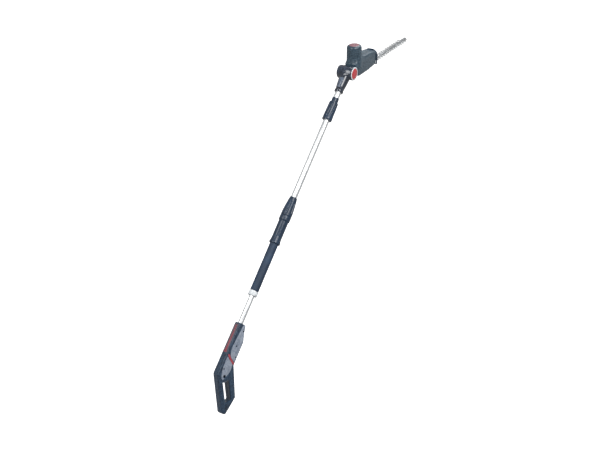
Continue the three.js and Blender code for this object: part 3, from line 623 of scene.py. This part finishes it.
# %% [markdown]
# ## The handle
#
# Two glass-filled shells meet on the middle plane. Light side panels, a red sweep and a lower panel are
# let into them, and a soft pad with a red stripe runs down the palm side. The shells' corners are broken
# by half a millimetre, and the thin trims by less, so that the joint lines stay crisp.

# %% Shells, panels and trims
for name in ("handle_shell_right", "handle_shell_left"):
    refine(name, 0.5)
for side in ("right", "left"):
    refine("side_panel_" + side, 0.4)
    refine("lower_panel_" + side, 0.4)
    refine("red_sweep_" + side, 0.4)
refine("foot_bumper", 0.7)
refine("palm_pad", 0.5)
refine("red_stripe", 0.4, "stripe_red")
refine("trigger", 0.35)
refine("end_collar", 0.5)
refine("clamping_collet", 0.2)


def stripe_flare():
    """The stripe's wide red foot, a thin plate bedded on the flat back of the grip."""
    low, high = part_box("red_stripe")
    pad_low, pad_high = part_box("palm_pad")
    foot, neck = pad_low.z + 1.5 * MM, pad_low.z + 34 * MM
    half_foot, half_neck = 0.92 * pad_high.x, high.x
    back = nodes["palm_pad"].data.vertices
    steps = 12
    mesh = bmesh.new()
    columns = []
    for i in range(steps + 1):
        share = i / steps
        height = foot + (neck - foot) * share
        reach = half_neck + (half_foot - half_neck) * (1 - share) ** 2
        near = [v.co.y for v in back if abs(v.co.z - pad_low.z) < 4 * MM]
        top = [v.co.y for v in back if abs(v.co.z - pad_high.z) < 4 * MM]
        slope = (min(top) - min(near)) / (pad_high.z - pad_low.z)
        face = min(near) + slope * (height - pad_low.z)
        column = []
        for across in (-1, -0.5, 0, 0.5, 1):
            crown = 0.30 * MM * (1 - across * across) + 0.08 * MM
            column.append(mesh.verts.new((across * reach, face - crown, height)))
        columns.append(column)
    for first, second in zip(columns, columns[1:]):
        for k in range(4):
            mesh.faces.new((first[k], first[k + 1], second[k + 1], second[k]))
    made = bmesh.ops.extrude_face_region(mesh, geom=mesh.faces[:])
    shifted = [item for item in made["geom"] if isinstance(item, bmesh.types.BMVert)]
    bmesh.ops.translate(mesh, verts=shifted, vec=(0, 0.5 * MM, 0))
    bmesh.ops.recalc_face_normals(mesh, faces=mesh.faces)
    return make_piece(mesh, "stripe_flare", "handle", "stripe_red")


stripe_flare()

# %% [markdown]
# ## Screws, with a six-lobed drive
#
# The shells are closed by four screws. Each head is domed, and a six-lobed socket is sunk in it. The
# head is spun with the socket's lobes in its own outline, inside the space of the frame's plain screw.

# %% Screw heads
ACROSS = Matrix.Rotation(math.pi / 2, 4, "Y")


def screw(name):
    low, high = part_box(name)
    middle = (low + high) / 2
    head = (high.y - low.y) / 2 - 0.03 * MM
    length = high.x - low.x
    shank = 0.45 * head
    tip, deep = low.x, high.x - 1.3 * MM
    lobe = 0.42 * head
    outline = [
        (0.0, tip), (0.6 * shank, tip), (shank, tip + 0.8 * MM), (shank, high.x - 2.1 * MM),
        (head, high.x - 2.0 * MM), (head, high.x - 0.6 * MM), (0.86 * head, high.x - 0.15 * MM),
        (lobe * 1.1, high.x - 0.02 * MM), (lobe, high.x - 0.1 * MM), (lobe, deep), (0.0, deep - 0.2 * MM),
    ]
    place = Matrix.Translation((0, middle.y, middle.z)) @ ACROSS

    def lobes(angle, height, radius):
        inside = radius <= lobe * 1.02 and height > deep - 0.01 * MM
        return radius * (1 + 0.16 * math.cos(6 * angle)) if inside else radius

    def thread(angle, height, radius):
        if abs(radius - shank) < 0.01 * MM:
            return radius * (1 - 0.12 * (0.5 + 0.5 * math.sin(angle + 2 * math.pi * height / (1.4 * MM))))
        return lobes(angle, height, radius)

    mesh = spin(finer(outline, False, 0.45 * MM), False, place, 36, thread)
    make_piece(mesh, name + "_fastener", BODY_OF[name], "elbow_gloss", [name], 40)
    return length


lengths = [screw("shell_screw_" + str(i)) for i in (1, 2, 3, 4)]
print("screws:", [round(length * 1000, 1) for length in lengths], "mm long")

# %% [markdown]
# ## The elbow and its tilt joint
#
# The elbow is a glossy black moulding with a light face panel. A large red button on its side frees the
# tilt, and a bolt with a cap on the other side carries the head.

# %% Elbow, button, bezel and cap
refine("elbow", 0.7, "elbow_gloss", 30)
refine("elbow_panel", 0.3, "face")
side_place = frame_along(HINGE, -TILT_AXIS)
respin("hub_cap", side_place, 0.8, "elbow_gloss")
respin("button_bezel", side_place, 0.4)
respin("release_button", side_place, 0.9, "lens_red")
respin("hinge_bolt", side_place, 0.4)
print("hinge at height", round(HINGE.z, 3), "m")

# %% [markdown]
# ## The head
#
# Two slate shells hold the motor upright over the gears. The motor's dome has a dull red crown, and its
# barrel is spun again from the frame's outline. A guard closes the front, and a sole plate lies below.

# %% Head mouldings
for name in ("head_shell_right", "head_shell_left"):
    refine(name, 0.6)
refine("tilt_tongue", 0.6)
refine("front_guard", 0.6)
refine("sole_plate", 0.6)
print("head mouldings are ready")

# %% [markdown]
# ## The dome
#
# The dome's outline is read in the head's own frame: X lies on the tilt axis, Z along the cutter bar, and
# the motor stands up from them. The bar's direction is the tilt axis crossed with the motor's axis.

# %% The head's own frame
ACROSS_HEAD = -TILT_AXIS
bar_points = [vert.co for vert in nodes["guide_bar"].data.vertices]
far_end = max(bar_points, key=lambda spot: (spot - HINGE).length)
near_end = min(bar_points, key=lambda spot: (spot - HINGE).length)
along = far_end - near_end
along -= ACROSS_HEAD * along.dot(ACROSS_HEAD)
flat_faces = sorted(nodes["guide_bar"].data.polygons, key=lambda face: -face.area)
flat_normal = flat_faces[0].normal.copy()
BAR = flat_normal.cross(ACROSS_HEAD).normalized()
if BAR.dot(along) < 0:
    BAR.negate()
UP = ACROSS_HEAD.cross(BAR).normalized()
dome_points = [vert.co for vert in nodes["motor_cap"].data.vertices]
dome_centre = sum(dome_points, Vector()) / len(dome_points)
if UP.dot(dome_centre - HINGE) < 0:
    UP.negate()
foot = dome_centre - UP * (dome_centre - HINGE).dot(UP)
basis = Matrix((ACROSS_HEAD, UP.cross(ACROSS_HEAD), UP)).transposed().to_4x4()
MOTOR = Matrix.Translation(foot) @ basis
dome = respin("motor_cap", MOTOR, 1.6, "head_shell")
dome.data.materials.append(FINISH["crown"])
CROWN_RADIUS = 26 * MM
for face in dome.data.polygons:
    spot = MOTOR.inverted() @ face.center
    face.material_index = int(math.hypot(spot.x, spot.y) < CROWN_RADIUS)
respin("motor_can", MOTOR, 0.6)
print("bar direction", [round(c, 3) for c in BAR], "motor direction", [round(c, 3) for c in UP])

# %% [markdown]
# ## The cutter
#
# Two toothed blades slide against each other under a stiff bar. One narrow bevel breaks every sharp edge
# of the teeth, so that the edges shine brighter than the flat.

# %% Blades, bar and bolts
for name in ("upper_blade", "lower_blade"):
    refine(name, 0.7, steps=1, sharp=50, smooth=20)
refine("guide_bar", 0.8, "bar_steel")
for name in ("bar_bolt_1", "bar_bolt_2"):
    refine(name, 0.4)
print("cutter pieces are ready")

# %% [markdown]
# ## Everything else
#
# The inner pieces, such as the gears, the rotor, the switch and the battery contacts, keep the frame's
# own shapes and take the finish of their slot.

# %% Finishes for the inner pieces
kept = [name for name, thing in nodes.items() if not thing.hide_render]
for name in kept:
    nodes[name].material_slots[0].material = FINISH[SLOT_OF[name]]
print("kept from the frame:", kept)

# %% [markdown]
# ## Camera
#
# The camera stands low, beyond the handle's right side, and looks up along the pole. It is rolled so
# that the pole leans across the frame.

# %% Camera
VIEW = {"azimuth": 52.19, "elevation": -13.89, "roll": 22.98, "distance": 4.762, "lens": 60.16}
TARGET = Vector((0, 0, 0.704))
azimuth, elevation, roll = (math.radians(VIEW[key]) for key in ("azimuth", "elevation", "roll"))
outward = Vector((math.sin(azimuth) * math.cos(elevation),
                  -math.cos(azimuth) * math.cos(elevation), math.sin(elevation)))
right = Vector((math.cos(azimuth), math.sin(azimuth), 0))
upward = outward.cross(right)
camera_x = right * math.cos(roll) + upward * math.sin(roll)
camera_y = upward * math.cos(roll) - right * math.sin(roll)
camera_data = bpy.data.cameras.new("camera")
camera_data.lens = VIEW["lens"]
camera_data.shift_x = 0.0178
camera_data.shift_y = -0.0283
camera_data.clip_end = 60
camera = bpy.data.objects.new("camera", camera_data)
camera.matrix_world = Matrix.Translation(TARGET + outward * VIEW["distance"]) @ Matrix(
    (camera_x, camera_y, outward)).transposed().to_4x4()
bpy.context.scene.collection.objects.link(camera)
bpy.context.scene.camera = camera
print("camera at", [round(c, 2) for c in camera.matrix_world.translation])

# %% [markdown]
# ## Stage and lights
#
# A pale sheet makes the floor and curves up into the backdrop. It gives off a little light of its own,
# and hides from reflections, so that the dark mouldings keep crisp, dark edges. Three large soft lights
# stand to the tool's right, in front of it and above it, for a bright line down the tubes.

# %% Floor, backdrop and lights
def pale_stage(name):
    s = Surface(name)
    s.set(Emission_Color=(1.0, 1.0, 1.0, 1.0), Emission_Strength=0.85)
    s.set(Base_Color=s.grain(3, 2.0).ramp(0.3, 0.7).blend(tone(250, 250, 250), tone(254, 254, 254)))
    s.set(Roughness=s.grain(12, 2.0) * 0.1 + 0.85)
    return s.material


def stage_sheet():
    mesh = bmesh.new()
    floor, reach, bend, height = -0.75, 5.0, 2.0, 7.0
    section = [(-6.0, floor)]
    for k in range(13):
        angle = math.radians(90 * k / 12)
        section.append((reach + bend * math.sin(angle), floor + bend * (1 - math.cos(angle))))
    section.append((reach + bend, height))
    flat_out = Vector((-outward.x, -outward.y, 0)).normalized()
    rows = []
    for away, level in section:
        spots = [flat_out * away + right * side + Vector((0, 0, level)) for side in (-9, 9)]
        rows.append([mesh.verts.new(spot) for spot in spots])
    for first, second in zip(rows, rows[1:]):
        mesh.faces.new((first[0], first[1], second[1], second[0]))
    data = bpy.data.meshes.new("stage")
    mesh.to_mesh(data)
    mesh.free()
    data.shade_smooth()
    data.materials.append(pale_stage("stage_pale"))
    sheet = bpy.data.objects.new("stage", data)
    bpy.context.scene.collection.objects.link(sheet)
    sheet.visible_glossy = False
    sheet.visible_diffuse = False


def soft_light(name, spot, aim, size, power):
    data = bpy.data.lights.new(name, "AREA")
    data.shape = "RECTANGLE"
    data.size, data.size_y = size
    data.energy = power
    lamp = bpy.data.objects.new(name, data)
    lamp.location = spot
    lamp.rotation_euler = (Vector(aim) - Vector(spot)).to_track_quat("-Z", "Y").to_euler()
    bpy.context.scene.collection.objects.link(lamp)


stage_sheet()
soft_light("key", (3.4, -1.6, 2.6), (0, 0, 0.8), (1.6, 3.0), 150)
soft_light("fill", (0.6, -3.8, 0.6), (0, 0, 0.7), (1.0, 3.2), 70)
soft_light("top", (0.2, -0.4, 4.4), (0, 0, 1.2), (2.0, 2.0), 60)
world = bpy.data.worlds.new("studio")
bpy.context.scene.world = world
world.use_nodes = True
world.node_tree.nodes["Background"].inputs[0].default_value = (1.0, 1.0, 1.0, 1.0)
world.node_tree.nodes["Background"].inputs[1].default_value = 0.5
bpy.context.scene.view_settings.view_transform = "Standard"
print("stage and lights are ready")
